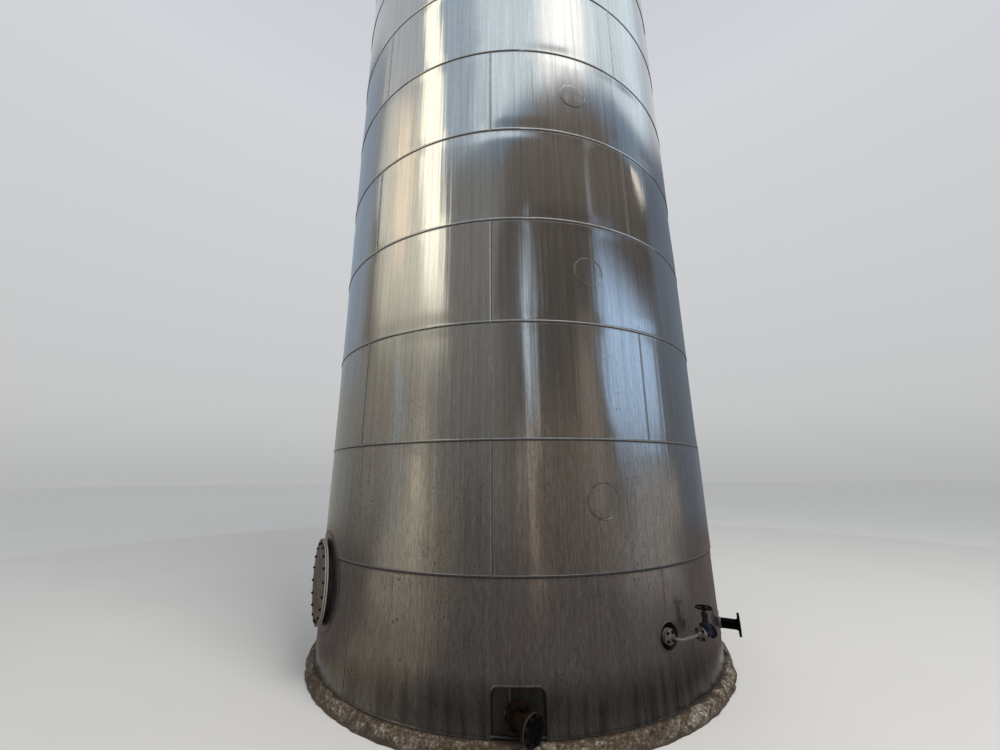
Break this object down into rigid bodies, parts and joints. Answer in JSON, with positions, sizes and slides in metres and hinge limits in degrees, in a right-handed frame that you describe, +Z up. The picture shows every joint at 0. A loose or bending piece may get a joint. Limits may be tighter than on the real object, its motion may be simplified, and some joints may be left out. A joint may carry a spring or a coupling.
{
  "type": "vertical storage tank",
  "caption": "Insulated, sheet-clad cylindrical liquid tank on a round foundation, with conical roof, guard rail, bolted manway, bottom outlet, sampling valve and process nozzle.",
  "frame": {"origin": "on the tank's axis at the underside of the foundation, at ground level", "axes": "+Z up along the tank's axis; -Y is the side with the bottom outlet, which the picture shows; +X is to the right of that side, towards the sampling valve"},
  "size_m": [4.4372, 4.5792, 10.8447],
  "materials": {
    "cladding_steel": "rolled stainless sheet, weathered, streaked and dusty",
    "roof_steel": "rolled stainless sheet, dull",
    "vessel_steel": "mill finish",
    "mineral_wool": "mineral wool, matte",
    "concrete": "rough mortar and concrete, damp and dirty",
    "galvanised_steel": "galvanised, dull",
    "off_white_paint": "off-white paint with rust showing through",
    "rusty_steel": "brown rust over old paint",
    "black_steel": "black paint, dirty",
    "pipe_steel": "dull stainless pipe",
    "valve_paint": "very dark blue enamel"
  },
  "bodies": {
    "tank": {"foundation": "concrete", "vessel_floor": "vessel_steel", "vessel_wall": "vessel_steel", "vessel_roof": "vessel_steel", "insulation_lower": "mineral_wool", "insulation_upper": "mineral_wool", "roof_insulation": "mineral_wool", "cladding_course_01": "cladding_steel", "cladding_course_02": "cladding_steel", "cladding_course_03": "cladding_steel", "cladding_course_04": "cladding_steel", "cladding_course_05": "cladding_steel", "cladding_course_06": "cladding_steel", "cladding_course_07": "cladding_steel", "cladding_course_08": "cladding_steel", "cladding_course_09": "cladding_steel", "cladding_course_10": "cladding_steel", "roof_cladding": "roof_steel", "roof_rim": "roof_steel", "vent_neck": "galvanised_steel", "vent_hood": "galvanised_steel", "guard_rail_1": "galvanised_steel", "guard_rail_2": "galvanised_steel", "guard_rail_3": "galvanised_steel", "guard_rail_4": "galvanised_steel", "inspection_cap_1": "cladding_steel", "inspection_cap_2": "cladding_steel", "inspection_cap_3": "cladding_steel", "inspection_cap_4": "cladding_steel", "inspection_cap_5": "cladding_steel", "manway_neck": "off_white_paint", "manway_cover": "off_white_paint", "manway_collar": "cladding_steel", "outlet_nozzle": "rusty_steel", "outlet_spool": "rusty_steel", "outlet_blind_flange": "black_steel", "outlet_cover_left": "cladding_steel", "outlet_cover_right": "cladding_steel", "outlet_frame": "cladding_steel", "sampling_nozzle": "galvanised_steel", "sampling_pipe": "pipe_steel", "sampling_collar": "cladding_steel", "sampling_valve_body": "valve_paint", "sampling_valve_bonnet": "valve_paint", "process_nozzle": "black_steel", "process_collar": "cladding_steel"},
    "handwheel": {"sampling_valve_handwheel": "black_steel"}
  },
  "joints": [
    {"name": "handwheel_turn", "type": "hinge", "parent": "tank", "child": "handwheel", "pos_m": [1.466, -1.73094, 0.77], "axis": [0, 0, 1], "range_deg": [0, 1440]}
  ]
}
